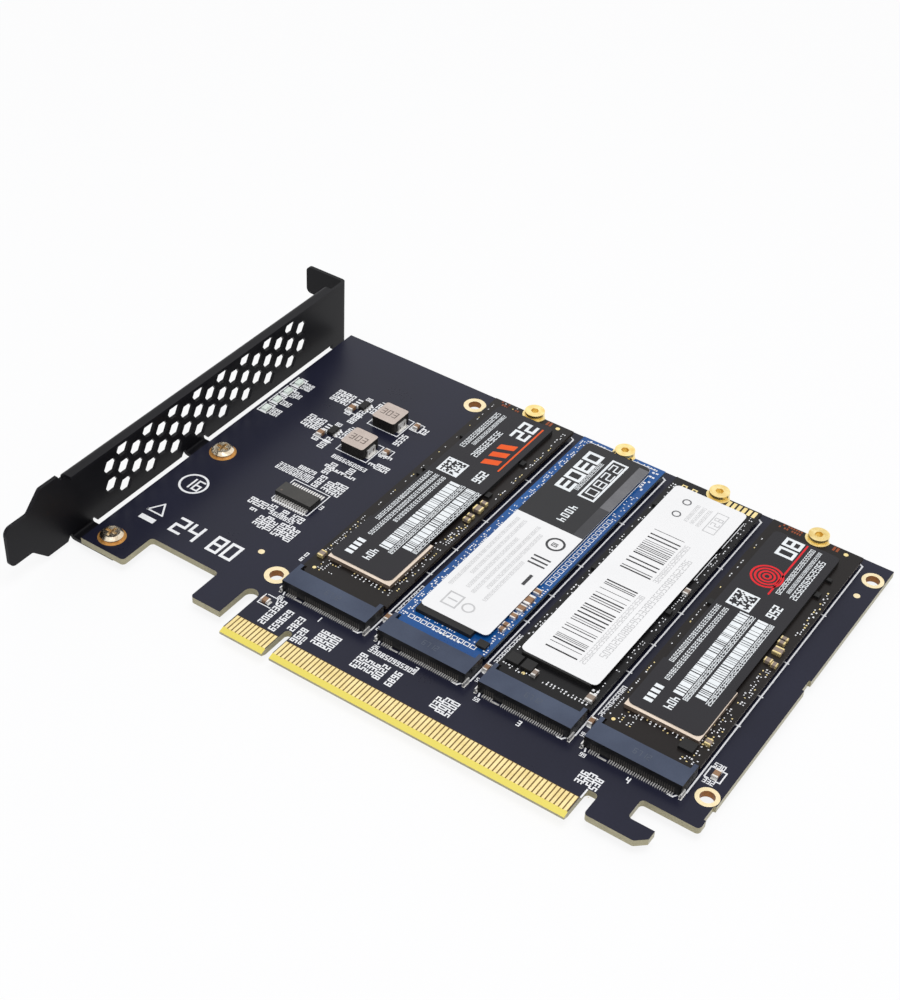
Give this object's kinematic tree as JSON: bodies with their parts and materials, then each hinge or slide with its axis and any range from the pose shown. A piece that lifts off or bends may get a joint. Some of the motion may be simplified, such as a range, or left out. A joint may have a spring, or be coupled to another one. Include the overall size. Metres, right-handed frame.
{
  "type": "four-slot storage adapter card",
  "caption": "Full-height expansion card with long edge connector, vented bracket and flat storage modules clamped side by side in board-mounted sockets.",
  "frame": {"origin": "centre of the four mounting holes, on the board's component side", "axes": "+X along the edge connector away from the bracket, +Y from the edge connector towards the card's top edge, +Z out of the component side"},
  "size_m": [0.1646, 0.119, 0.0205],
  "materials": {
    "solder_mask": "gloss",
    "gold_plating": "polished",
    "bracket_black": "satin",
    "screw_nickel": "polished",
    "socket_plastic": "satin",
    "tinned_metal": "satin",
    "module_mask_brown": "gloss",
    "module_mask_blue": "gloss",
    "module_mask_black": "gloss",
    "chip_plastic": "matte",
    "lid_nickel": "satin",
    "label_dark": "satin",
    "label_split": "satin",
    "label_white": "satin",
    "capacitor_ceramic": "satin",
    "coil_core": "matte",
    "post_brass": "polished",
    "lamp_lens": "gloss"
  },
  "bodies": {
    "root": {"adapter_board": "solder_mask", "bracket": "bracket_black", "bracket_screws": "screw_nickel", "bypass_capacitors": "capacitor_ceramic", "clock_chip": "chip_plastic", "clock_chip_leads": "tinned_metal", "coil_terminals_1": "tinned_metal", "coil_terminals_2": "tinned_metal", "edge_contacts_component_side": "gold_plating", "edge_contacts_solder_side": "gold_plating", "indicator_lamps": "lamp_lens", "input_capacitors": "capacitor_ceramic", "module_board_1": "module_mask_brown", "module_board_2": "module_mask_blue", "module_board_3": "module_mask_black", "module_board_4": "module_mask_brown", "module_capacitors_1": "capacitor_ceramic", "module_capacitors_2": "capacitor_ceramic", "module_capacitors_3": "capacitor_ceramic", "module_capacitors_4": "capacitor_ceramic", "module_controller_1": "lid_nickel", "module_controller_2": "chip_plastic", "module_controller_3": "chip_plastic", "module_controller_4": "lid_nickel", "module_label_1": "label_dark", "module_label_2": "label_split", "module_label_3": "label_white", "module_label_4": "label_dark", "module_memory_1": "chip_plastic", "module_memory_2": "chip_plastic", "module_memory_3": "chip_plastic", "module_memory_4": "chip_plastic", "module_posts": "post_brass", "module_power_chips_2": "chip_plastic", "module_power_chips_3": "chip_plastic", "module_power_chips_4": "chip_plastic", "module_retaining_screws": "post_brass", "output_capacitors": "capacitor_ceramic", "power_coil_1": "coil_core", "power_coil_2": "coil_core", "regulator_leads": "tinned_metal", "regulators": "chip_plastic", "socket_contacts_1": "tinned_metal", "socket_contacts_2": "tinned_metal", "socket_contacts_3": "tinned_metal", "socket_contacts_4": "tinned_metal", "socket_holddowns_1": "tinned_metal", "socket_holddowns_2": "tinned_metal", "socket_holddowns_3": "tinned_metal", "socket_holddowns_4": "tinned_metal", "socket_housing_1": "socket_plastic", "socket_housing_2": "socket_plastic", "socket_housing_3": "socket_plastic", "socket_housing_4": "socket_plastic"}
  },
  "joints": []
}
